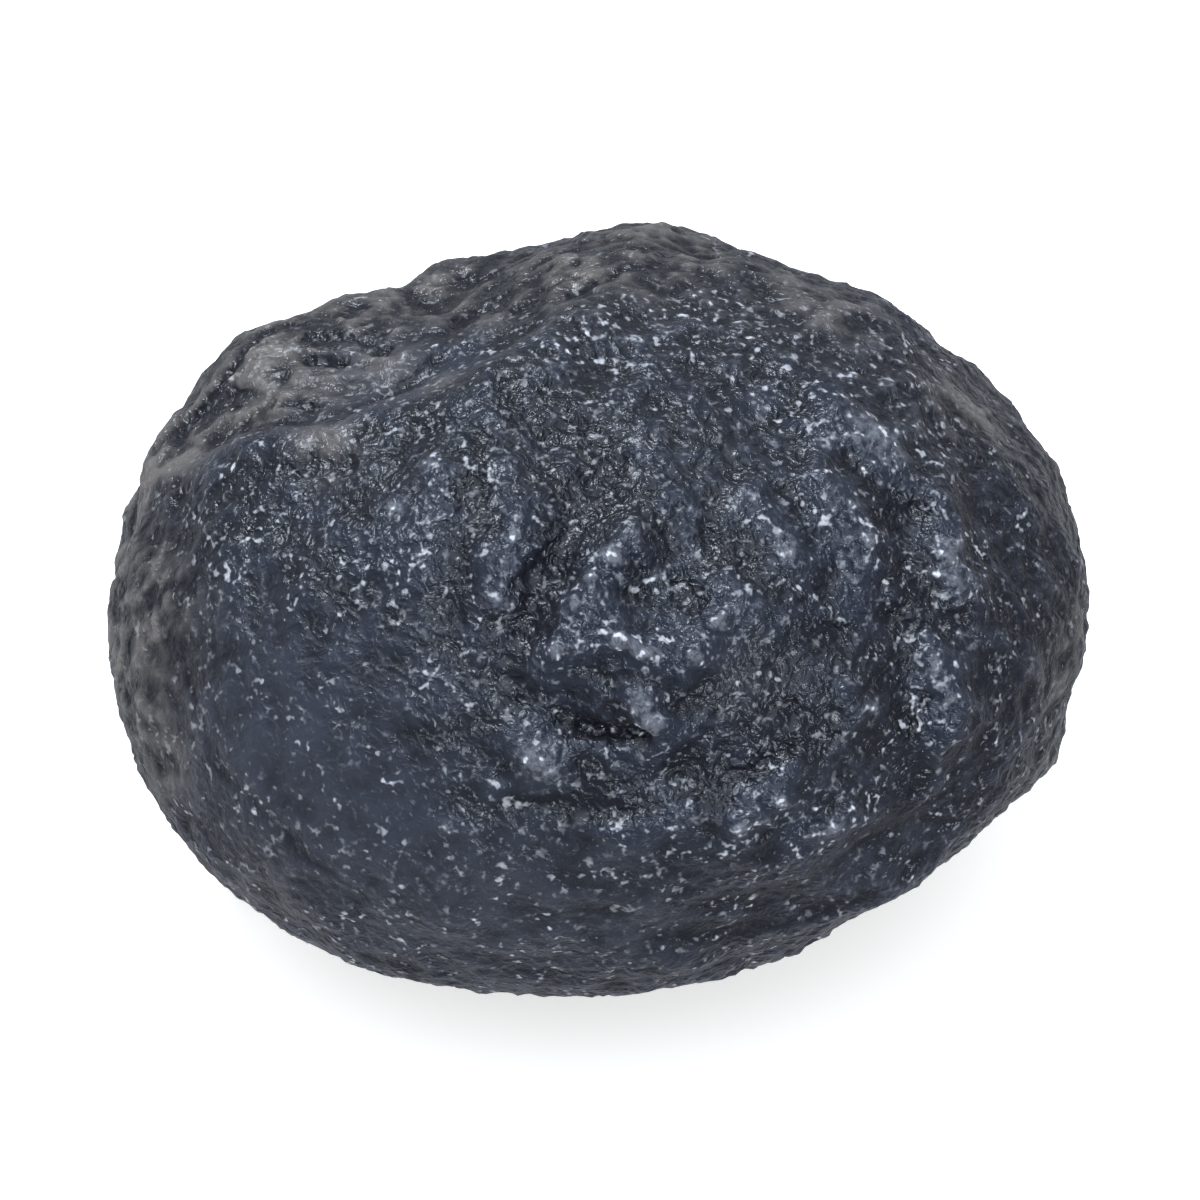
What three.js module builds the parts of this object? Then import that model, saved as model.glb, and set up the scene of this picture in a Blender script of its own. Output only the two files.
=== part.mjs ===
// A tektite: one pebble of black natural glass, splashed out molten by a meteorite impact and then etched
// in the ground until its skin filled with pits, grooves and folds. It is solid all through.
//
// Millimetres, +Z up. The stone is longest along X and lowest along Z. It rests at z = 0 on a small flat
// spot, and the origin is the middle of the underside of its bounding box.

import * as THREE from "three";
import { mergeVertices } from "three/addons/utils/BufferGeometryUtils.js";
import { ImprovedNoise } from "three/addons/math/ImprovedNoise.js";

// The whole stone, before its skin is worked
const halfAxes = new THREE.Vector3(14.9, 12.0, 10.1);
const restDepth = 0.38; // how far the flat spot is worn into the round underside
const facetRows = 22; // rows of facets along each edge of the starting icosahedron

// Its better face looks up and to the front. Places on it are [across, up] in the plane of that face, from
// the middle of the stone. A place with side "far" lies on the opposite, rear and under, face.
const faceTilt = THREE.MathUtils.degToRad(40); // from looking straight up
const faceOut = new THREE.Vector3(0, -Math.sin(faceTilt), Math.cos(faceTilt));
const faceUp = new THREE.Vector3(0, Math.cos(faceTilt), Math.sin(faceTilt));
const faceAcross = new THREE.Vector3(1, 0, 0);

const crestAt = [1.2, 11.3]; // the highest point of the outline, which the wrinkles run towards

// Broad swells (rise above 0) and hollows (below 0) that make the egg lopsided
const swells = [
  { at: crestAt, reach: 5.0, rise: 0.42 },
  { at: [-10.6, 7.8], reach: 3.0, rise: 0.75 }, // the shoulder left of the fold
  { at: [-4.8, 10.2], reach: 4.2, rise: -0.85 }, // the dip in the top edge
  { at: [-8.4, -10.4], reach: 6.3, rise: 1.25 }, // the full lower left
  { at: [-14.2, -3.6], reach: 4.2, rise: 0.35 },
  { at: [9.6, -9.0], reach: 4.5, rise: -0.2 }, // the straighter lower right
  { at: [14.3, -2.9], reach: 2.0, rise: -0.3 }, // a notch in the right edge
  { at: [9.4, 8.6], reach: 4.5, rise: 0.2 },
  { at: [-8.5, 4.5], side: "far", reach: 5.0, rise: 0.6 },
  { at: [6.5, 6.0], side: "far", reach: 5.5, rise: -0.6 },
  { at: [2.0, -6.0], side: "far", reach: 6.0, rise: 0.4 },
];

// A crescent fold across the upper left: a rounded rim, and behind it a sunken bed with smaller folds
const fold = {
  line: [
    [-13.4, 3.0],
    [-11.6, 4.5],
    [-8.4, 5.1],
    [-5.6, 6.0],
    [-3.2, 7.3],
    [-0.9, 8.8],
    [1.2, 10.4],
  ],
  rimRise: 0.3,
  rimWidth: 1.6,
  bedDepth: 0.9,
  bedStart: 2.0, // from the rim to the full depth of the bed
  bedReach: 6.8, // from the rim to where the bed is level again
  rippleRise: 0.16,
  rippleWave: 1.9,
  bluntness: 0.7, // of its two ends, where 1 is a plain half wave and less is blunter
};

// Flow marks: short ridges (rise above 0) and grooves (below 0) drawn out in the glass as it cooled
const flowMarks = [
  { through: [[0.2, 4.4], [-1.1, 2.0], [-2.3, -0.5]], width: 0.75, rise: -0.4 },
  { through: [[0.8, 2.2], [-0.2, 0.5], [-1.4, -1.5]], width: 0.7, rise: 0.42 },
  { through: [[-2.3, 3.2], [-3.2, 0.2]], width: 0.8, rise: 0.28 },
  { through: [[-4.8, 4.2], [-5.8, 1.2]], width: 0.9, rise: 0.32 },
  { through: [[-4.2, 0.6], [-4.9, -1.6]], width: 0.8, rise: -0.22 },
  { through: [[0.2, -0.8], [1.5, -1.5], [2.6, -1.5]], width: 0.7, rise: 0.42 },
  { through: [[2.7, 2.4], [2.1, 0.6]], width: 0.7, rise: -0.28 },
  { through: [[4.0, 0.6], [3.2, -0.6]], width: 0.7, rise: 0.32 },
  { through: [[0.7, -2.6], [1.7, -3.6]], width: 0.75, rise: 0.42 },
  { through: [[-0.9, -3.2], [0.5, -3.9]], width: 0.65, rise: -0.5 },
  { through: [[-2.7, -3.9], [-1.7, -4.7]], width: 0.9, rise: 0.32 },
  { through: [[-2.9, -2.0], [-1.7, -2.6]], width: 0.9, rise: -0.22 },
  { through: [[6.9, 5.9], [8.7, 4.5]], width: 0.95, rise: 0.32 },
  { through: [[6.6, 3.8], [8.0, 1.2]], width: 0.85, rise: 0.32 },
  { through: [[4.6, 2.9], [5.9, 0.9]], width: 0.85, rise: 0.28 },
  { through: [[9.2, 4.2], [8.7, 1.2]], width: 0.7, rise: -0.25 },
  { through: [[8.9, -0.6], [9.2, -2.8]], width: 0.75, rise: -0.28 },
  { through: [[10.0, 3.2], [10.6, 0.4]], width: 0.8, rise: 0.32 },
  { through: [[9.8, -1.4], [10.4, -3.5]], width: 0.85, rise: 0.3 },
  { through: [[6.3, -2.2], [8.0, -2.9]], width: 0.8, rise: 0.25 },
  { through: [[3.9, -6.5], [5.6, -4.9]], width: 0.8, rise: 0.35 },
  { through: [[5.6, -7.1], [7.4, -6.1]], width: 0.8, rise: 0.32 },
  { through: [[0.2, -6.7], [2.5, -6.0]], width: 0.85, rise: 0.28 },
  { through: [[-3.4, -5.9], [0.2, -5.2], [3.6, -4.5]], width: 0.85, rise: -0.22 },
  { through: [[1.8, -9.4], [5.6, -8.7], [9.4, -6.9]], width: 0.9, rise: -0.25 },
  { through: [[2.0, -10.4], [6.0, -9.6], [9.6, -7.8]], width: 0.9, rise: 0.25 },
  { through: [[-9.5, 2.0], [-4.0, 6.5], [2.0, 7.0], [7.0, 3.5]], side: "far", width: 1.2, rise: -0.45 },
  { through: [[-7.5, 0.8], [-3.0, 4.4], [2.0, 5.0]], side: "far", width: 1.3, rise: 0.35 },
  { through: [[8.0, -2.0], [11.0, 2.5]], side: "far", width: 1.1, rise: -0.35 },
  { through: [[-10.0, -3.5], [-5.0, -6.0]], side: "far", width: 1.1, rise: 0.35 },
];

// Short wrinkles all over, drawn out towards the crest and wandering to either side of that way
const wrinkles = {
  count: 210,
  shortest: 1.4,
  longest: 3.6,
  width: 0.75,
  tallest: 0.31,
  sunkShare: 0.35, // the share of them that are sunk and not raised
  wander: 1.2, // the whole spread of their headings, in radians
  seed: 5,
};

// Etched pits all over, shallow bowls that crowd together
const pits = { count: 430, smallest: 0.9, largest: 1.9, depthShare: 0.2, seed: 11 };

// Where the skin stayed calmer than the rest: how much of the wrinkles, pits and waves is left there
const calmSpots = [
  { at: [-9.5, -4.5], reach: 7.5, keep: 0.35 },
  { at: [2.0, -0.5], reach: 4.5, keep: 0.5 },
];

// Slow waves in the skin
const waves = [
  { wave: 7.5, rise: 0.35 },
  { wave: 3.4, rise: 0.2 },
];

const glass = { color: 0x33363c, roughness: 0.55, metalness: 0 };

const bell = (distance, width) => Math.exp(-((distance / width) ** 2));
const total = (things, riseOf) => things.reduce((sum, thing) => sum + riseOf(thing), 0);
const { lerp, clamp, smoothstep, seededRandom } = THREE.MathUtils;

// The place on the round stone at [across, up] of a face, or on its edge for a place just past the edge
function onSkin([across, up], side = "near") {
  const out = faceOut.clone().multiplyScalar(side === "near" ? 1 : -1);
  const start = new THREE.Vector3()
    .addScaledVector(faceAcross, across)
    .addScaledVector(faceUp, up)
    .addScaledVector(out, 2 * halfAxes.x);
  const ray = new THREE.Ray(start.divide(halfAxes), out.negate().divide(halfAxes).normalize());
  const unitBall = new THREE.Sphere(new THREE.Vector3(), 1);
  const hit = ray.intersectSphere(unitBall, new THREE.Vector3());
  const place = hit ?? ray.closestPointToPoint(unitBall.center, new THREE.Vector3()).normalize();
  return place.multiply(halfAxes);
}

// Points close together on a smooth line through places on the skin
function lineOnSkin(places, side) {
  const curve = new THREE.CatmullRomCurve3(places.map((place) => onSkin(place, side)));
  const step = 0.25;
  return curve.getSpacedPoints(Math.ceil(curve.getLength() / step));
}

// How far a spot is from a row of points, and which point is nearest
function nearestOn(points, spot) {
  let nearest = 0;
  let least = Infinity;
  points.forEach((point, index) => {
    const gap = point.distanceToSquared(spot);
    if (gap < least) {
      least = gap;
      nearest = index;
    }
  });
  return { distance: Math.sqrt(least), nearest };
}

const swellsOnSkin = swells.map((swell) => ({ ...swell, centre: onSkin(swell.at, swell.side) }));

function swellRise(spot) {
  return total(swellsOnSkin, ({ centre, reach, rise }) => rise * bell(spot.distanceTo(centre), reach));
}

const foldLine = lineOnSkin(fold.line);

// Above the line the bed is sunken, and below it only the rim's round shoulder is felt
function foldRise(spot) {
  const { distance, nearest } = nearestOn(foldLine, spot);
  const along = nearest / (foldLine.length - 1);
  const taper = Math.sin(Math.PI * along) ** fold.bluntness;
  const before = foldLine[Math.max(nearest - 1, 0)];
  const after = foldLine[Math.min(nearest + 1, foldLine.length - 1)];
  const heading = after.clone().sub(before);
  const away = spot.clone().sub(foldLine[nearest]);
  const above = heading.cross(away).dot(faceOut) > 0;
  const rim = fold.rimRise * bell(distance, above ? fold.rimWidth / 2 : fold.rimWidth);
  if (!above) return taper * rim;
  const sunk = smoothstep(distance, 0, fold.bedStart);
  const level = 1 - smoothstep(distance, fold.bedStart, fold.bedReach);
  const ripple = fold.rippleRise * Math.cos((2 * Math.PI * distance) / fold.rippleWave);
  return taper * (rim + sunk * level * (ripple - fold.bedDepth));
}

const marksOnSkin = flowMarks.map((mark) => ({ ...mark, points: lineOnSkin(mark.through, mark.side) }));

function markRise(spot) {
  return total(marksOnSkin, ({ points, width, rise }) => {
    const { distance } = nearestOn(points, spot);
    return rise * bell(distance, width);
  });
}

// Places spread evenly along a spiral from pole to pole, each nudged out of line
function scatterOnSkin(count, seed) {
  seededRandom(seed);
  const goldenTurn = Math.PI * (3 - Math.sqrt(5));
  const nudge = 8;
  return Array.from({ length: count }, (_, index) => {
    const step = index + 0.5 + nudge * (seededRandom() - 0.5);
    const polar = Math.acos(clamp(1 - (2 * step) / count, -1, 1));
    const turn = goldenTurn * index + seededRandom() - 0.5;
    return new THREE.Vector3().setFromSphericalCoords(1, polar, turn).multiply(halfAxes);
  });
}

const scatteredPits = scatterOnSkin(pits.count, pits.seed).map((centre) => ({
  centre,
  radius: lerp(pits.smallest, pits.largest, seededRandom() ** 2),
}));

const crest = onSkin(crestAt);

const scatteredWrinkles = scatterOnSkin(wrinkles.count, wrinkles.seed).map((centre) => {
  const outward = centre.clone().divide(halfAxes).divide(halfAxes).normalize();
  const heading = crest.clone().sub(centre).projectOnPlane(outward).normalize();
  heading.applyAxisAngle(outward, wrinkles.wander * (seededRandom() - 0.5));
  const half = heading.multiplyScalar(lerp(wrinkles.shortest, wrinkles.longest, seededRandom()) / 2);
  const line = new THREE.Line3(centre.clone().sub(half), centre.clone().add(half));
  const share = (seededRandom() - wrinkles.sunkShare) / (1 - wrinkles.sunkShare);
  return { line, rise: wrinkles.tallest * share };
});

function wrinkleRise(spot) {
  const onLine = new THREE.Vector3();
  return total(scatteredWrinkles, ({ line, rise }) => {
    line.closestPointToPoint(spot, true, onLine);
    return rise * bell(onLine.distanceTo(spot), wrinkles.width);
  });
}

// Where pits overlap the deeper one wins, which leaves a sharp ridge between them
function pitRise(spot) {
  let deepest = 0;
  for (const { centre, radius } of scatteredPits) {
    const share = spot.distanceTo(centre) / radius;
    if (share < 1) deepest = Math.max(deepest, pits.depthShare * radius * (1 - share * share));
  }
  return -deepest;
}

const noise = new ImprovedNoise();

function waveRise(spot) {
  return total(waves, ({ wave, rise }) => rise * noise.noise(spot.x / wave, spot.y / wave, spot.z / wave));
}

const calmOnSkin = calmSpots.map((calm) => ({ ...calm, centre: onSkin(calm.at) }));

// The share of the fine relief that is left at a spot
function liveliness(spot) {
  let left = 1;
  for (const { centre, reach, keep } of calmOnSkin) {
    left *= 1 - (1 - keep) * bell(spot.distanceTo(centre), reach);
  }
  return left;
}

function skinRise(spot) {
  const fine = wrinkleRise(spot) + pitRise(spot) + waveRise(spot);
  return swellRise(spot) + foldRise(spot) + markRise(spot) + liveliness(spot) * fine;
}

// A round stone whose skin is raised and sunk along its own normals, set down on its flat spot at z = 0
function stoneGeometry() {
  const ball = new THREE.IcosahedronGeometry(1, facetRows - 1);
  ball.deleteAttribute("normal");
  ball.deleteAttribute("uv");
  const geometry = mergeVertices(ball, 1e-4);
  const position = geometry.getAttribute("position");
  const restLevel = restDepth - halfAxes.z;
  for (let index = 0; index < position.count; index += 1) {
    const spot = new THREE.Vector3().fromBufferAttribute(position, index);
    const outward = spot.clone().divide(halfAxes).normalize();
    spot.multiply(halfAxes);
    spot.addScaledVector(outward, skinRise(spot));
    position.setXYZ(index, spot.x, spot.y, Math.max(spot.z - restLevel, 0));
  }
  geometry.computeBoundingBox();
  const middle = geometry.boundingBox.getCenter(new THREE.Vector3());
  geometry.translate(-middle.x, -middle.y, 0);
  geometry.computeVertexNormals();
  return geometry;
}

const tektite = new THREE.Mesh(stoneGeometry(), new THREE.MeshStandardMaterial(glass));
tektite.name = "tektite";

const part = new THREE.Group();
part.add(tektite);

export default part;
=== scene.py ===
import math
import random

import bpy
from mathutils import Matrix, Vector
from mathutils.kdtree import KDTree


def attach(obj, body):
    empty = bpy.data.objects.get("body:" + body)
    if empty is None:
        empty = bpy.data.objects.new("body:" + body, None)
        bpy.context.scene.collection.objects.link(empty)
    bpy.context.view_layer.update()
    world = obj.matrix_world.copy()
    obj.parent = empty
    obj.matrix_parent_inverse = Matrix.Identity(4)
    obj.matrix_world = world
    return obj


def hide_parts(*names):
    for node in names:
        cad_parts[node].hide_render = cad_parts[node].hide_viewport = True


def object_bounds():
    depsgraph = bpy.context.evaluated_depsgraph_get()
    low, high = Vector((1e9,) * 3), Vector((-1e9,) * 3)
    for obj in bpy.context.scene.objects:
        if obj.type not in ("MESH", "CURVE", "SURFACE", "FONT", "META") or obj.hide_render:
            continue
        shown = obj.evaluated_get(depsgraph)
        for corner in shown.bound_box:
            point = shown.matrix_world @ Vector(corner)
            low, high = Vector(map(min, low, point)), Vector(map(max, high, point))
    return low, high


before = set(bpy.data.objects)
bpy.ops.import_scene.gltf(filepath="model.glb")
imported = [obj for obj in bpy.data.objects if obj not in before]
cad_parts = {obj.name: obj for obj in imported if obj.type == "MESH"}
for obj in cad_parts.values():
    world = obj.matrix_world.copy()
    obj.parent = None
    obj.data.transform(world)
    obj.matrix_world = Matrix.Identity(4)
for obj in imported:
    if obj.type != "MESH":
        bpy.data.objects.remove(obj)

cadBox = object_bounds()
print("frame loaded", [list(corner) for corner in cadBox])

mm = 0.001
stoneName = "tektite"


def selectOnly(piece):
    bpy.ops.object.select_all(action="DESELECT")
    piece.select_set(True)
    bpy.context.view_layer.objects.active = piece


def applyModifier(piece, kind, settings):
    selectOnly(piece)
    modifier = piece.modifiers.new(kind.lower(), kind)
    for name, value in settings.items():
        setattr(modifier, name, value)
    bpy.ops.object.modifier_apply(modifier=modifier.name)


# 0 up to low, 1 from high on, and a soft step in between
def softStep(value, low, high):
    share = min(max((value - low) / (high - low), 0), 1)
    return share * share * (3 - 2 * share)


def bell(distance, width):
    return math.exp(-((distance / width) ** 2))


# The stone's body: the frame's facets cut finer and rounded
body = {
    "mergeReach": 0.001 * mm,  # corners of the facets closer than this become one
    "cuts": 3,  # along each edge of the facets
    "smoothings": 12,
    "fineSmoothings": 4,
    "softening": 0.5,  # by each smoothing
    "swell": 0.08 * mm,  # gives back what the rounding took away
    "fineSpots": [  # the busiest places of the better face get a finer mesh
        {"at": (-8.3, 7.3), "reach": 3.4},
        {"at": (0.8, -0.8), "reach": 4.2},
        {"at": (9.0, 1.2), "reach": 2.4},
        {"at": (5.4, -6.0), "reach": 2.2},
    ],
    "restEdge": 0.4 * mm,  # the skin is worked from this height up, so the flat spot stays flat
}

# The better face looks up and to the front. A place on it is across and up, in mm from its middle
face = {
    "middle": Vector((0.10, -0.06, 9.72)) * mm,
    "tilt": math.radians(40),  # from looking straight up
    "reach": 40 * mm,  # from where a place is dropped onto the skin
}


def cutBody():
    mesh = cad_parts[stoneName].data.copy()
    mesh.materials.clear()
    piece = bpy.data.objects.new("tektiteSkin", mesh)
    bpy.context.scene.collection.objects.link(piece)
    selectOnly(piece)
    bpy.ops.object.mode_set(mode="EDIT")
    bpy.ops.mesh.select_all(action="SELECT")
    bpy.ops.mesh.remove_doubles(threshold=body["mergeReach"])
    bpy.ops.mesh.subdivide(number_cuts=body["cuts"])
    bpy.ops.object.mode_set(mode="OBJECT")
    return piece


def addWeights(piece, name, weightAt):
    group = piece.vertex_groups.new(name=name)
    for vertex in piece.data.vertices:
        group.add([vertex.index], weightAt(vertex.co), "REPLACE")


def freeAt(spot):
    return softStep(spot.z, 0, body["restEdge"])


def faceSpot(piece, place, side=1):
    tilt = face["tilt"]
    out = Vector((0, -math.sin(tilt), math.cos(tilt))) * side
    across = Vector((1, 0, 0))
    up = Vector((0, math.cos(tilt), math.sin(tilt)))
    start = face["middle"] + (across * place[0] + up * place[1]) * mm + out * face["reach"]
    found, spot, _, _ = piece.ray_cast(start, -out)
    if found:
        return spot
    return piece.closest_point_on_mesh(start - out * face["reach"])[1]


def refine(piece):
    centres = [(faceSpot(piece, fine["at"]), fine["reach"] * mm) for fine in body["fineSpots"]]
    selectOnly(piece)
    bpy.ops.object.mode_set(mode="EDIT")
    bpy.ops.mesh.select_mode(type="FACE")
    bpy.ops.mesh.select_all(action="DESELECT")
    bpy.ops.object.mode_set(mode="OBJECT")
    for polygon in piece.data.polygons:
        polygon.select = any((polygon.center - centre).length < reach for centre, reach in centres)
    bpy.ops.object.mode_set(mode="EDIT")
    bpy.ops.mesh.subdivide(number_cuts=1, ngon=False)
    bpy.ops.object.mode_set(mode="OBJECT")


def roundOff(piece, smoothings):
    applyModifier(piece, "SMOOTH", {
        "factor": body["softening"],
        "iterations": smoothings,
        "vertex_group": "free",
    })


stone = cutBody()
addWeights(stone, "free", freeAt)
roundOff(stone, body["smoothings"])
evenCount = len(stone.data.vertices)  # before refining they lie evenly all over the stone
refine(stone)
roundOff(stone, body["fineSmoothings"])
applyModifier(stone, "DISPLACE", {
    "strength": body["swell"],
    "mid_level": 0,
    "vertex_group": "free",
})
print("body rounded", len(stone.data.polygons))


# Where the skin stayed calm (keep is what is left of its grain there)
calmSpots = [
    {"at": (-9.5, -4.5), "reach": 6.5, "keep": 0.4},
    {"at": (-4.0, -9.0), "reach": 4.0, "keep": 0.6},
    {"at": (4.4, -2.0), "reach": 1.4, "keep": 0.3},
    {"at": (1.0, -9.4), "reach": 3.5, "keep": 0.65},
    {"at": (8.4, -8.2), "reach": 3.0, "keep": 0.65},
    {"at": (-6.5, 6.8), "reach": 2.8, "keep": 0.45},
]

# Grain in the skin, coarse to fine, each a modifier's texture
grains = [
    {"period": 1.4 * mm, "height": 0.07 * mm, "distortion": 1.3},
    {"period": 0.6 * mm, "height": 0.06 * mm, "distortion": 1.1},
]

pits = {
    "count": 12000,
    "smallest": 0.2 * mm,
    "largest": 0.75 * mm,
    "crowding": 3.5,  # above 1, more of them are small
    "depth": 0.18,  # as a share of a pit's radius
    "seed": 4,
}

# Crisp crests (rise above 0) and clefts drawn out in the glass, as places on the better face.
# Widths and rises are in mm, and a knobbly crest is broken up into beads
crests = [
    {"along": [(0.2, 4.4), (-1.1, 2.0), (-2.3, -0.5)], "width": 0.45, "rise": -0.14},
    {"along": [(0.8, 2.2), (-0.2, 0.5), (-1.4, -1.5)],
     "width": 0.40, "rise": 0.14, "knobbly": True},
    {"along": [(-2.3, 3.2), (-3.2, 0.2)], "width": 0.45, "rise": 0.10, "knobbly": True},
    {"along": [(-4.8, 4.2), (-5.8, 1.2)], "width": 0.45, "rise": 0.08, "knobbly": True},
    {"along": [(0.2, -0.8), (1.5, -1.5), (2.6, -1.5)],
     "width": 0.40, "rise": 0.15, "knobbly": True},
    {"along": [(4.0, 0.6), (3.2, -0.6)], "width": 0.40, "rise": 0.12, "knobbly": True},
    {"along": [(0.7, -2.6), (1.7, -3.6)], "width": 0.45, "rise": 0.14, "knobbly": True},
    {"along": [(-0.6, -3.5), (0.2, -3.7), (1.1, -3.8)], "width": 0.20, "rise": -0.38},
    {"along": [(-2.7, -3.9), (-1.7, -4.7)], "width": 0.45, "rise": 0.10, "knobbly": True},
    {"along": [(6.9, 5.9), (8.7, 4.5)], "width": 0.50, "rise": 0.12, "knobbly": True},
    {"along": [(6.6, 3.8), (8.0, 1.2)], "width": 0.45, "rise": 0.12, "knobbly": True},
    {"along": [(4.6, 2.9), (5.9, 0.9)], "width": 0.45, "rise": 0.10, "knobbly": True},
    {"along": [(10.0, 3.2), (10.6, 0.4)], "width": 0.42, "rise": 0.12, "knobbly": True},
    {"along": [(9.8, -1.4), (10.4, -3.5)], "width": 0.45, "rise": 0.12, "knobbly": True},
    {"along": [(3.9, -6.5), (5.6, -4.9)], "width": 0.42, "rise": 0.14, "knobbly": True},
    {"along": [(5.6, -7.1), (7.4, -6.1)], "width": 0.42, "rise": 0.12, "knobbly": True},
    {"along": [(0.2, -6.7), (2.5, -6.0)], "width": 0.40, "rise": 0.10, "knobbly": True},
    {"along": [(-13.6, 4.0), (-11.5, 4.6), (-8.0, 5.2), (-5.2, 6.6), (-3.6, 8.4)],
     "width": 0.50, "rise": 0.14},
    {"along": [(-9.6, 5.6), (-7.0, 6.2), (-5.2, 7.3), (-4.2, 8.9)], "width": 0.24, "rise": -0.14},
    {"along": [(-10.4, 4.0), (-7.6, 4.2), (-5.0, 5.4)], "width": 0.26, "rise": -0.09},
    {"along": [(-8.8, 8.3), (-8.0, 8.3), (-7.0, 8.1)], "width": 0.22, "rise": -0.20},
    {"along": [(-8.8, 7.5), (-7.9, 7.4)], "width": 0.20, "rise": -0.20},
    {"along": [(-9.6, 6.2), (-8.7, 6.1)], "width": 0.20, "rise": -0.20},
    {"along": [(-6.8, 7.6), (-6.5, 7.9)], "width": 0.18, "rise": -0.16},
    {"along": [(-8.9, 7.8), (-7.4, 7.6), (-6.2, 7.3), (-5.2, 7.2)], "width": 0.18, "rise": 0.14},
    {"along": [(-9.2, 6.9), (-7.4, 6.9), (-5.8, 6.9), (-5.0, 7.8)], "width": 0.20, "rise": 0.13},
    {"along": [(-12.3, 6.0), (-11.7, 6.6), (-11.2, 7.4), (-10.4, 8.3)],
     "width": 0.20, "rise": -0.18},
    {"along": [(3.7, -2.3), (5.1, -1.7)], "width": 0.80, "rise": -0.10},
    {"along": [(-2.8, -2.0), (-2.2, -2.5)], "width": 0.26, "rise": -0.14},
    {"along": [(6.4, -0.7), (7.0, -0.9)], "width": 0.40, "rise": -0.20},
    {"along": [(8.7, -3.0), (9.1, -3.5)], "width": 0.34, "rise": -0.16},
    {"along": [(4.9, -2.9), (5.6, -3.0)], "width": 0.30, "rise": -0.18},
    {"along": [(-2.6, -5.7), (0.4, -6.0), (3.3, -5.4), (6.0, -4.0)], "width": 0.26, "rise": -0.14},
    {"along": [(1.4, -9.9), (5.6, -9.4), (9.4, -7.6)], "width": 0.24, "rise": -0.09},
    {"along": [(0.2, -9.0), (4.6, -8.6), (8.8, -6.6), (11.6, -3.8)], "width": 0.24, "rise": -0.08},
    {"along": [(-12.6, -1.6), (-11.4, -4.8), (-8.6, -7.6)], "width": 0.26, "rise": -0.07},
]

# Single frosted knobs of glass, as places on the better face; their frost also carries painted
# glints
knobs = [
    {"at": (-10.0, 7.8), "width": 0.48, "rise": 0.10},
    {"at": (-10.2, 7.3), "width": 0.52, "rise": 0.10},
    {"at": (-10.7, 7.9), "width": 0.18, "rise": 0.14},
    {"at": (-11.4, 6.9), "width": 0.16, "rise": 0.10},
    {"at": (-8.9, 7.1), "width": 0.16, "rise": 0.12},
    {"at": (-7.7, 7.2), "width": 0.14, "rise": 0.10},
    {"at": (-8.0, 8.8), "width": 0.18, "rise": 0.12},
    {"at": (-6.2, 8.4), "width": 0.20, "rise": 0.14},
    {"at": (-5.9, 7.6), "width": 0.20, "rise": 0.14},
    {"at": (-5.0, 7.9), "width": 0.16, "rise": 0.10},
    {"at": (2.2, 10.1), "width": 0.24, "rise": 0.14},
    {"at": (3.1, 9.2), "width": 0.20, "rise": 0.12},
    {"at": (4.1, 8.5), "width": 0.18, "rise": 0.12},
    {"at": (-5.2, 4.3), "width": 0.40, "rise": 0.08},
    {"at": (-6.2, 2.9), "width": 0.40, "rise": 0.08},
    {"at": (-2.6, 2.1), "width": 0.30, "rise": 0.12},
    {"at": (-3.1, 0.1), "width": 0.40, "rise": 0.12},
    {"at": (0.1, 1.6), "width": 0.36, "rise": 0.20},
    {"at": (-0.4, 0.8), "width": 0.34, "rise": 0.18},
    {"at": (-0.9, 0.1), "width": 0.36, "rise": 0.18},
    {"at": (-1.4, -1.2), "width": 0.36, "rise": 0.20},
    {"at": (0.4, -1.0), "width": 0.42, "rise": 0.22},
    {"at": (0.9, -1.2), "width": 0.34, "rise": 0.18},
    {"at": (1.6, 0.9), "width": 0.22, "rise": 0.12},
    {"at": (1.4, -1.3), "width": 0.36, "rise": 0.20},
    {"at": (2.7, -1.5), "width": 0.36, "rise": 0.18},
    {"at": (3.4, -0.4), "width": 0.38, "rise": 0.22},
    {"at": (1.0, -2.9), "width": 0.30, "rise": 0.16},
    {"at": (1.5, -3.4), "width": 0.34, "rise": 0.20},
    {"at": (-2.1, -4.5), "width": 0.42, "rise": 0.14},
    {"at": (7.6, 4.9), "width": 0.34, "rise": 0.16},
    {"at": (8.2, 5.1), "width": 0.48, "rise": 0.18},
    {"at": (8.9, 4.5), "width": 0.34, "rise": 0.16},
    {"at": (7.4, 3.0), "width": 0.36, "rise": 0.14},
    {"at": (7.9, 2.0), "width": 0.40, "rise": 0.14},
    {"at": (5.4, 1.8), "width": 0.40, "rise": 0.12},
    {"at": (10.1, 2.0), "width": 0.28, "rise": 0.16},
    {"at": (10.2, 1.4), "width": 0.32, "rise": 0.18},
    {"at": (10.3, 0.8), "width": 0.32, "rise": 0.18},
    {"at": (10.5, 0.2), "width": 0.28, "rise": 0.16},
    {"at": (9.5, -0.8), "width": 0.26, "rise": 0.14},
    {"at": (10.6, -0.9), "width": 0.20, "rise": 0.12},
    {"at": (9.8, -1.8), "width": 0.42, "rise": 0.14},
    {"at": (10.2, -2.8), "width": 0.30, "rise": 0.12},
    {"at": (8.0, -2.9), "width": 0.28, "rise": 0.14},
    {"at": (5.3, -5.7), "width": 0.40, "rise": 0.20},
    {"at": (4.7, -6.2), "width": 0.26, "rise": 0.14},
    {"at": (4.1, -6.5), "width": 0.32, "rise": 0.16},
    {"at": (6.8, -6.5), "width": 0.38, "rise": 0.14},
    {"at": (-4.6, -6.5), "width": 0.24, "rise": 0.12},
]

crestStep = 0.12 * mm  # from one place to the next where a crest is laid on
swellReach = 2.2  # how far out a crest or a knob is worked, in its own widths

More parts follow.
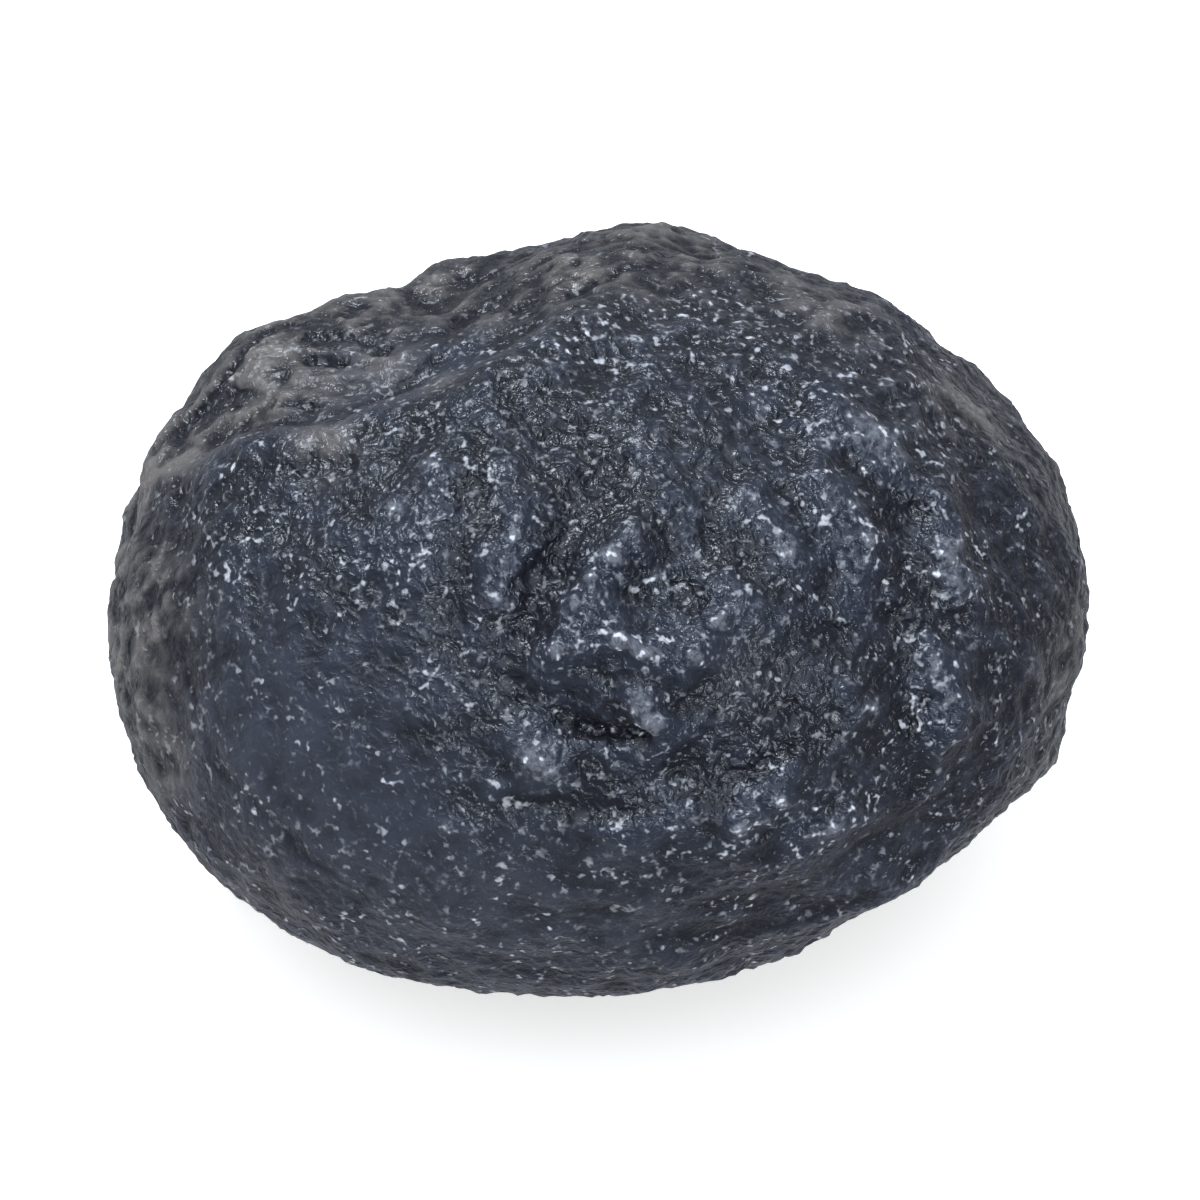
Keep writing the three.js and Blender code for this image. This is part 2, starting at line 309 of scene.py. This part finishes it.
# Small knobs that a knobbly crest is broken up into
beads = {
    "spacing": 0.24 * mm,
    "stray": 0.60 * mm,  # to either side of the crest
    "smallest": 0.28 * mm,
    "largest": 0.62 * mm,
    "reach": 2,  # how far out a bead is worked, in its own radii
    "rise": 0.24,  # as a share of a bead's radius
    "frosting": 0.35,
    "seed": 9,
}

# Where the skin is frosted more thickly and more painted glints are laid on (share is how much)
frostAndGlintSpots = [
    {"at": (-0.6, 8.2), "reach": 2.6, "share": 0.44},
    {"at": (3.4, 8.4), "reach": 3.0, "share": 0.54},
    {"at": (8.8, 6.4), "reach": 2.8, "share": 0.42},
    {"at": (8.2, 4.9), "reach": 1.1, "share": 1.00},
    {"at": (7.7, 2.3), "reach": 1.1, "share": 0.50},
    {"at": (10.2, 1.1), "reach": 1.1, "share": 1.00},
    {"at": (9.8, -1.9), "reach": 1.1, "share": 0.50},
    {"at": (6.6, -6.4), "reach": 1.6, "share": 0.40},
    {"at": (-11.0, 3.6), "reach": 2.4, "share": 0.25},
]

# Where earth still clings in the skin and turns it brown, as on the upper-left shelf; the spots
# along the outline also paint a rim light, a lighter warm tint for light glancing off the edges
earthAndRimLightSpots = [
    {"at": (-10.2, 7.4), "reach": 1.6, "share": 1.3},
    {"at": (-10.6, 5.9), "reach": 1.9, "share": 1.2},
    {"at": (-8.6, 6.4), "reach": 2.0, "share": 0.65},
    {"at": (-6.6, 7.4), "reach": 2.0, "share": 0.65},
    {"at": (-11.6, 7.0), "reach": 2.2, "share": 1.2},
    {"at": (-9.8, 8.4), "reach": 2.4, "share": 1.2},
    {"at": (-7.2, 9.0), "reach": 2.6, "share": 1.1},
    {"at": (-5.0, 9.2), "reach": 2.6, "share": 1.1},
    {"at": (-12.6, 5.2), "reach": 3.0, "share": 1.2},
    {"at": (-8.4, 4.9), "reach": 1.8, "share": 0.7},
    {"at": (-4.9, 6.6), "reach": 1.6, "share": 0.6},
    {"at": (-2.6, 10.2), "reach": 3.4, "share": 1.1},
    {"at": (0.6, 11.0), "reach": 4.2, "share": 1.2},
    {"at": (6.4, 9.4), "reach": 3.4, "share": 0.8},
    {"at": (10.8, 6.2), "reach": 3.0, "share": 0.8},
    {"at": (14.0, 3.2), "reach": 2.8, "share": 0.8},
    {"at": (14.2, -1.6), "reach": 3.0, "share": 0.85},
    {"at": (13.2, -5.0), "reach": 2.8, "share": 0.75},
    {"at": (-14.2, 2.8), "reach": 4.0, "share": 1.15},
    {"at": (-14.2, -0.6), "reach": 3.4, "share": 1.25},
    {"at": (-13.6, -4.0), "reach": 2.8, "share": 0.85},
    {"at": (-10.0, -8.4), "reach": 2.2, "share": 0.5},
    {"at": (-3.0, 4.0), "side": -1, "reach": 4.5, "share": 0.6},
    {"at": (7.0, -3.0), "side": -1, "reach": 4.0, "share": 0.5},
]


def calmAt(spot, centres):
    left = 1
    for calm, centre in zip(calmSpots, centres):
        left *= 1 - (1 - calm["keep"]) * bell((spot - centre).length, calm["reach"] * mm)
    return left


def strongestAt(spot, patches, centres):
    return max(patch["share"] * bell((spot - centre).length, patch["reach"] * mm)
               for patch, centre in zip(patches, centres))


def growGrain(piece):
    for grain in grains:
        texture = bpy.data.textures.new("grain", "DISTORTED_NOISE")
        texture.noise_scale = grain["period"]
        texture.distortion = grain["distortion"]
        applyModifier(piece, "DISPLACE", {
            "texture": texture,
            "texture_coords": "LOCAL",
            "strength": grain["height"],
            "mid_level": 0.5,
            "vertex_group": "lively",
        })


def treeOf(piece):
    tree = KDTree(len(piece.data.vertices))
    for vertex in piece.data.vertices:
        tree.insert(vertex.co, vertex.index)
    tree.balance()
    return tree


def pitDepths(piece, tree):
    random.seed(pits["seed"])
    vertices = piece.data.vertices
    depths = [0.0] * len(vertices)
    for _ in range(pits["count"]):
        centre = vertices[random.randrange(evenCount)].co
        size = random.random() ** pits["crowding"]
        radius = pits["smallest"] + (pits["largest"] - pits["smallest"]) * size
        for _, index, distance in tree.find_range(centre, radius):
            share = distance / radius
            depths[index] = max(depths[index], pits["depth"] * radius * (1 - share * share))
    return depths


def beadCrest(start, end, tree, rises, frosting):
    for _ in range(math.ceil((end - start).length / beads["spacing"])):
        stray = Vector([random.uniform(-1, 1) for _ in range(3)]) * beads["stray"]
        radius = random.uniform(beads["smallest"], beads["largest"])
        centre = start.lerp(end, random.random()) + stray
        for _, index, distance in tree.find_range(centre, beads["reach"] * radius):
            swell = bell(distance, radius)
            rises[index] = max(rises[index], beads["rise"] * radius * swell)
            frosting[index] = max(frosting[index], beads["frosting"] * swell)


# How far crests and knobs raise each vertex, and how frosted they leave it, which also lays
# painted glints on them
def crestsAndKnobs(piece, tree):
    rises = [0.0] * len(piece.data.vertices)
    swells = [0.0] * len(piece.data.vertices)
    frosting = [0.0] * len(piece.data.vertices)
    random.seed(beads["seed"])
    for crest in crests:
        corners = [faceSpot(piece, place) for place in crest["along"]]
        width = crest["width"] * mm
        nearest = {}
        for start, end in zip(corners, corners[1:]):
            steps = math.ceil((end - start).length / crestStep)
            for step in range(steps + 1):
                centre = start.lerp(end, step / steps)
                for _, index, distance in tree.find_range(centre, swellReach * width):
                    nearest[index] = min(nearest.get(index, distance), distance)
            if crest.get("knobbly"):
                beadCrest(start, end, tree, swells, frosting)
        for index, distance in nearest.items():
            rises[index] += crest["rise"] * mm * bell(distance, width)
    for knob in knobs:
        centre = faceSpot(piece, knob["at"])
        width = knob["width"] * mm
        for _, index, distance in tree.find_range(centre, swellReach * width):
            share = bell(distance, width)
            swells[index] = max(swells[index], knob["rise"] * mm * share)
            frosting[index] = max(frosting[index], share)
    return [rise + swell for rise, swell in zip(rises, swells)], frosting


def patchValues(piece, patches, smoothSkin):
    centres = [faceSpot(piece, patch["at"], patch.get("side", 1)) for patch in patches]
    return [strongestAt(spot, patches, centres) for spot, _ in smoothSkin]


def keepValues(piece, name, values):
    attribute = piece.data.attributes.new(name, "FLOAT", "POINT")
    attribute.data.foreach_set("value", values)


def workSkin(piece):
    tree = treeOf(piece)
    vertices = piece.data.vertices
    smoothSkin = [(vertex.co.copy(), vertex.normal.copy()) for vertex in vertices]
    lives = [piece.vertex_groups["lively"].weight(vertex.index) for vertex in vertices]
    rises, frosting = crestsAndKnobs(piece, tree)
    depths = pitDepths(piece, tree)
    moves = [freeAt(spot) * rise - life * depth
             for (spot, _), rise, depth, life in zip(smoothSkin, rises, depths, lives)]
    for vertex, (_, normal), move in zip(vertices, smoothSkin, moves):
        vertex.co += normal * move
    growGrain(piece)
    for vertex in piece.data.vertices:
        vertex.co.z = max(vertex.co.z, 0)
    heights = [(vertex.co - spot).dot(normal) / mm
               for vertex, (spot, normal) in zip(piece.data.vertices, smoothSkin)]
    keepValues(piece, "reliefHeight", heights)
    keepValues(piece, "skinLife", lives)
    thickFrostAndGlint = patchValues(piece, frostAndGlintSpots, smoothSkin)
    keepValues(piece, "crestFrostAndGlint", [max(shares) for shares in zip(frosting, thickFrostAndGlint)])
    keepValues(piece, "earthAndRimLightShare", patchValues(piece, earthAndRimLightSpots, smoothSkin))
    piece.data.update()


calmCentres = [faceSpot(stone, calm["at"]) for calm in calmSpots]
addWeights(stone, "lively", lambda spot: freeAt(spot) * calmAt(spot, calmCentres))
workSkin(stone)
stone.vertex_groups.clear()
selectOnly(stone)
bpy.ops.object.shade_smooth()
print("skin worked")


# One material: makes its nodes and joins them
class Finish:
    def __init__(self, name):
        self.material = bpy.data.materials.new(name)
        self.material.use_nodes = True
        self.nodes = self.material.node_tree.nodes
        self.shader = self.nodes["Principled BSDF"]

    def put(self, socket, value):
        if isinstance(value, Wire):
            self.material.node_tree.links.new(value.socket, socket)
        else:
            socket.default_value = value

    def wear(self, sockets):
        for name, value in sockets.items():
            self.put(self.shader.inputs[name], value)
        return self.material

    def add(self, kind, settings=None, sockets=None, output=0):
        node = self.nodes.new(kind)
        for name, value in (settings or {}).items():
            setattr(node, name, value)
        for name, value in (sockets or {}).items():
            self.put(node.inputs[name], value)
        return Wire(self, node.outputs[output])

    def blend(self, share, first, second):
        return self.add("ShaderNodeMix", {"data_type": "RGBA"}, {
            "Factor": share, "A": first, "B": second,
        }, "Result")


# One value that travels through a material, and takes part in plain arithmetic
class Wire:
    def __init__(self, finish, socket):
        self.finish = finish
        self.socket = socket

    def maths(self, operation, first, second):
        return self.finish.add("ShaderNodeMath", {"operation": operation}, {0: first, 1: second})

    def __add__(self, other):
        return self.maths("ADD", self, other)

    def __radd__(self, other):
        return self.maths("ADD", other, self)

    def __sub__(self, other):
        return self.maths("SUBTRACT", self, other)

    def __rsub__(self, other):
        return self.maths("SUBTRACT", other, self)

    def __mul__(self, other):
        return self.maths("MULTIPLY", self, other)

    def __rmul__(self, other):
        return self.maths("MULTIPLY", other, self)


glass = {
    # painted shade: the near-black that hollows in the relief are turned to
    "hollowShade": (0.002, 0.003, 0.007, 1),
    "body": (0.011, 0.015, 0.027, 1),
    "calm": (0.025, 0.029, 0.043, 1),
    "frost": (0.090, 0.095, 0.114, 1),
    # a painted highlight: near-white flecks laid on as glints
    "glint": (0.56, 0.57, 0.61, 1),
    # brown of clinging earth, and along the edges a painted rim light
    "earthAndRimLight": (0.118, 0.107, 0.100, 1),
    "brownFrost": (0.136, 0.125, 0.119, 1),
    "roughness": 0.29,
    "frostRoughness": 0.22,  # more than that where it is frosted
    "calmRoughness": 0.12,  # and where the skin is quite calm
    "specular": 0.38,
    "haze": 0.056,  # of fine dust, which shows where the skin turns away
    "hazeTint": (0.92, 0.84, 0.84, 1),
    "stray": 0.5 * mm,  # how far the etched lines and bowls are bent aside
    "calmBump": 0.35,  # the share of the fine bump that quite calm skin keeps
    "periods": {  # from one spot of a pattern to the next
        "grain": 0.26 * mm,
        "etched": 0.50 * mm,
        "bowls": 0.62 * mm,
        "waves": 0.7 * mm,
        "stray": 0.9 * mm,
        "patches": 1.1 * mm,
        "clouds": 3.5 * mm,
    },
    "heights": {  # of the fine bump, in mm
        "etched": 0.055,
        "waves": 0.05,
        "bowls": 0.05,
        "grain": 0.04,
    },
    "edges": {  # from where to where a look comes in, relief in mm
        "lively": (0.3, 0.9),
        "hollow": (0.01, -0.17),
        "ridge": (0.03, 0.22),
        "bowl": (0.46, 0.10),
        "bowlPatch": (0.42, 0.56),
        "brown": (0.62, 1.40),
        "frost": (0.68, 1.0),
        "bright": (0.36, 0.92),
        "glint": (0.585, 0.74),
    },
    "weights": {  # how strongly one pattern tells in another
        "cloudsInBrown": 0.6,
        "grainInBrown": 0.3,
        "ridgeInFrost": 0.15,
        "cloudsInFrost": 0.3,
        "crestInFrost": 0.24,
        "hollowOffFrost": 0.8,
        "crestInBright": 0.45,
        "brownOffBright": 0.6,
        "evenInEtched": 0.5,
    },
}


def glassFinish():
    finish = Finish("tektiteGlass")
    periods, heights, weights = glass["periods"], glass["heights"], glass["weights"]
    place = finish.add("ShaderNodeTexCoord", output="Object")

    def keptValue(name):
        return finish.add("ShaderNodeAttribute", {"attribute_name": name}, output="Fac")

    def noiseOf(period, detail=2, roughness=0.5, output="Fac"):
        return finish.add("ShaderNodeTexNoise", sockets={
            "Vector": place, "Scale": 1 / period, "Detail": detail, "Roughness": roughness,
        }, output=output)

    def stepOf(value, edge):
        low, high = glass["edges"][edge]
        return finish.add("ShaderNodeMapRange", {"interpolation_type": "SMOOTHSTEP"}, {
            "Value": value, "From Min": low, "From Max": high,
        })

    relief = keptValue("reliefHeight")
    life = keptValue("skinLife")
    crest = keptValue("crestFrostAndGlint")
    earthAndRimLight = keptValue("earthAndRimLightShare")

    grain = noiseOf(periods["grain"], detail=3, roughness=0.6)
    glintNoise = noiseOf(periods["grain"], detail=1)
    waves = noiseOf(periods["waves"])
    patches = noiseOf(periods["patches"])
    clouds = noiseOf(periods["clouds"], detail=3)
    strayed = finish.add("ShaderNodeVectorMath", {"operation": "MULTIPLY_ADD"}, {
        0: noiseOf(periods["stray"], output="Color"), 1: (glass["stray"],) * 3, 2: place,
    })
    cells = finish.add("ShaderNodeTexVoronoi", {"feature": "F1"}, {
        "Vector": strayed, "Scale": 1 / periods["bowls"],
    }, "Distance")
    etched = finish.add("ShaderNodeTexNoise", {
        "noise_type": "RIDGED_MULTIFRACTAL", "normalize": False,
    }, {
        "Vector": strayed, "Scale": 1 / periods["etched"], "Detail": 2, "Roughness": 0.6,
        "Offset": 1.0, "Gain": 1.5,
    }, "Fac")

    hollow = stepOf(relief, "hollow")
    ridge = stepOf(relief, "ridge")
    bowls = stepOf(cells, "bowl") * stepOf(patches, "bowlPatch")
    brown = earthAndRimLight + weights["cloudsInBrown"] * clouds + weights["grainInBrown"] * grain
    brown = stepOf(brown, "brown")
    frosted = grain + weights["ridgeInFrost"] * ridge + weights["cloudsInFrost"] * clouds
    frosted = stepOf(frosted + weights["crestInFrost"] * crest, "frost")
    frosted = frosted * (1 - weights["hollowOffFrost"] * hollow)
    bright = stepOf(patches + weights["crestInBright"] * crest, "bright")
    bright = bright * (1 - weights["brownOffBright"] * brown)

    frost = finish.blend(brown, glass["frost"], glass["brownFrost"])
    colour = finish.blend(stepOf(life, "lively"), glass["calm"], glass["body"])
    # Brown: clinging earth, and along the edges a painted rim light
    colour = finish.blend(brown, colour, glass["earthAndRimLight"])
    # Painted shade: hollows in the relief are darkened towards near black
    colour = finish.blend(hollow, colour, glass["hollowShade"])
    colour = finish.blend(frosted, colour, frost)
    # Painted highlights: near-white flecks laid into the colour as glints, most on bright patches
    # and frosted crests, fewer on brown
    colour = finish.blend(stepOf(glintNoise, "glint") * bright, colour, glass["glint"])
    roughness = glass["roughness"] + glass["frostRoughness"] * frosted
    roughness = roughness + glass["calmRoughness"] * (1 - life)

    height = heights["etched"] * etched * (weights["evenInEtched"] + patches)
    height = height + heights["waves"] * waves + heights["grain"] * grain
    height = height - heights["bowls"] * bowls
    bumpShare = glass["calmBump"] + (1 - glass["calmBump"]) * life
    bump = finish.add("ShaderNodeBump", sockets={
        "Strength": 1.0, "Distance": mm, "Height": height * bumpShare,
    })
    return finish.wear({
        "Base Color": colour,
        "Roughness": roughness,
        "Specular IOR Level": glass["specular"],
        "Sheen Weight": glass["haze"],
        "Sheen Tint": glass["hazeTint"],
        "Normal": bump,
    })


stone.data.materials.append(glassFinish())
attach(stone, "root")
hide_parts(stoneName)
print("stone finished")


studio = {
    "floorSize": 2.0,
    "floorColour": (0.97, 0.94, 0.89, 1),
    "floorRoughness": 0.9,
    "floorGlow": 0.38,  # the paper is lit from below too, which leaves a short soft shadow
    "air": (0.84, 0.91, 1.0, 1),
    "airStrength": 0.46,
    "elevation": 50,  # of the camera, in degrees
    "lens": 300,
    "fill": 0.82,  # the share of the picture's width that the stone takes
}

lamps = [
    {"name": "ceiling", "place": (-0.06, 0.02, 0.52), "size": 0.9, "power": 3.4},
    {"name": "softBox", "place": (-0.12, 0.12, 0.30), "size": 0.05, "power": 0.90},
    {"name": "frontBox", "place": (0.10, -0.26, 0.20), "size": 0.05, "power": 0.65},
]
lampAim = Vector((0, 0, 0.01))


def makeFloor():
    bpy.ops.mesh.primitive_plane_add(size=studio["floorSize"], location=(0, 0, 0))
    floor = bpy.context.active_object
    floor.name = "floor"
    floor.data.materials.append(Finish("palePaper").wear({
        "Base Color": studio["floorColour"],
        "Roughness": studio["floorRoughness"],
        "Emission Color": studio["floorColour"],
        "Emission Strength": studio["floorGlow"],
    }))
    floor.visible_glossy = False  # the dark glass mirrors the room and not the white paper


def makeAir():
    world = bpy.data.worlds.new("air")
    world.use_nodes = True
    background = world.node_tree.nodes["Background"]
    background.inputs["Color"].default_value = studio["air"]
    background.inputs["Strength"].default_value = studio["airStrength"]
    bpy.context.scene.world = world


def makeLamp(settings):
    bpy.ops.object.light_add(type="AREA", location=settings["place"])
    lamp = bpy.context.active_object
    lamp.name = settings["name"]
    lamp.data.size = settings["size"]
    lamp.data.energy = settings["power"]
    lamp.data.color = studio["air"][:3]
    lamp.rotation_euler = (lampAim - Vector(settings["place"])).to_track_quat("-Z", "Y").to_euler()


def makeCamera():
    middle = (cadBox[0] + cadBox[1]) / 2
    width = cadBox[1].x - cadBox[0].x
    up = math.radians(studio["elevation"])
    away = Vector((0, -math.cos(up), math.sin(up)))
    data = bpy.data.cameras.new("camera")
    data.lens = studio["lens"]
    camera = bpy.data.objects.new("camera", data)
    bpy.context.scene.collection.objects.link(camera)
    distance = width / studio["fill"] * data.lens / data.sensor_width
    camera.location = middle + away * distance
    camera.rotation_euler = (-away).to_track_quat("-Z", "Y").to_euler()
    bpy.context.scene.camera = camera


makeFloor()
makeAir()
for lampSettings in lamps:
    makeLamp(lampSettings)
makeCamera()
bpy.context.scene.view_settings.view_transform = "Standard"
print("studio set")
